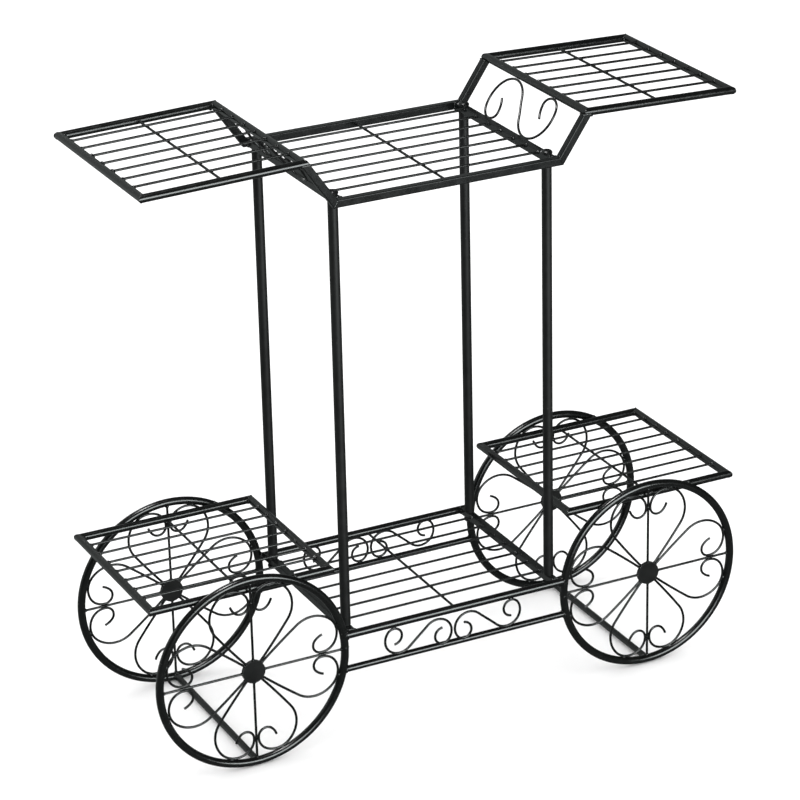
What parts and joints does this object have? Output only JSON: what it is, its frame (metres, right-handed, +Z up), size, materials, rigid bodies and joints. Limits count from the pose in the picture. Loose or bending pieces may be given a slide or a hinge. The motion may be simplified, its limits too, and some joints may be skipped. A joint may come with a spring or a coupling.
{
  "type": "flower cart plant stand",
  "caption": "Cart-shaped plant stand of black steel tube, rod and wire: stepped top shelf, low side shelves and a base deck, carried between fixed wheels with curled wire spokes.",
  "frame": {"origin": "on the floor at the centre of the footprint, midway between the wheels", "axes": "+X along the length towards the right wheels, +Y from front to back, +Z up"},
  "size_m": [0.646, 0.21, 0.6105],
  "materials": {
    "black_steel": "satin black powder coat",
    "bolt_black": "black finished screws",
    "insert_steel": "plain threaded plugs inside the posts"
  },
  "bodies": {
    "root": {"base_bolts": "bolt_black", "base_end_bar_left": "black_steel", "base_end_bar_right": "black_steel", "base_rail_back": "black_steel", "base_rail_front": "black_steel", "base_wires": "black_steel", "left_shelf_inner_bar": "black_steel", "left_shelf_outer_bar": "black_steel", "left_shelf_rail_back": "black_steel", "left_shelf_rail_front": "black_steel", "left_shelf_wires": "black_steel", "left_wing_inner_bar": "black_steel", "left_wing_outer_bar": "black_steel", "left_wing_rail_back": "black_steel", "left_wing_rail_front": "black_steel", "left_wing_scroll": "black_steel", "left_wing_wires": "black_steel", "post_back_left": "black_steel", "post_back_right": "black_steel", "post_front_left": "black_steel", "post_front_right": "black_steel", "post_inserts": "insert_steel", "right_shelf_inner_bar": "black_steel", "right_shelf_outer_bar": "black_steel", "right_shelf_rail_back": "black_steel", "right_shelf_rail_front": "black_steel", "right_shelf_wires": "black_steel", "right_wing_inner_bar": "black_steel", "right_wing_outer_bar": "black_steel", "right_wing_rail_back": "black_steel", "right_wing_rail_front": "black_steel", "right_wing_scroll": "black_steel", "right_wing_wires": "black_steel", "skirt_rail_back": "black_steel", "skirt_rail_front": "black_steel", "skirt_scrolls_back": "black_steel", "skirt_scrolls_front": "black_steel", "top_bolts": "bolt_black", "top_end_bar_left": "black_steel", "top_end_bar_right": "black_steel", "top_rail_back": "black_steel", "top_rail_front": "black_steel", "top_shelf_wires": "black_steel", "top_struts_left": "black_steel", "top_struts_right": "black_steel", "wheel_crossbar_left": "black_steel", "wheel_crossbar_right": "black_steel", "wheel_curls_back_left": "black_steel", "wheel_curls_back_right": "black_steel", "wheel_curls_front_left": "black_steel", "wheel_curls_front_right": "black_steel", "wheel_hubs": "black_steel", "wheel_rim_back_left": "black_steel", "wheel_rim_back_right": "black_steel", "wheel_rim_front_left": "black_steel", "wheel_rim_front_right": "black_steel", "wheel_spokes_back_left": "black_steel", "wheel_spokes_back_right": "black_steel", "wheel_spokes_front_left": "black_steel", "wheel_spokes_front_right": "black_steel"}
  },
  "joints": []
}
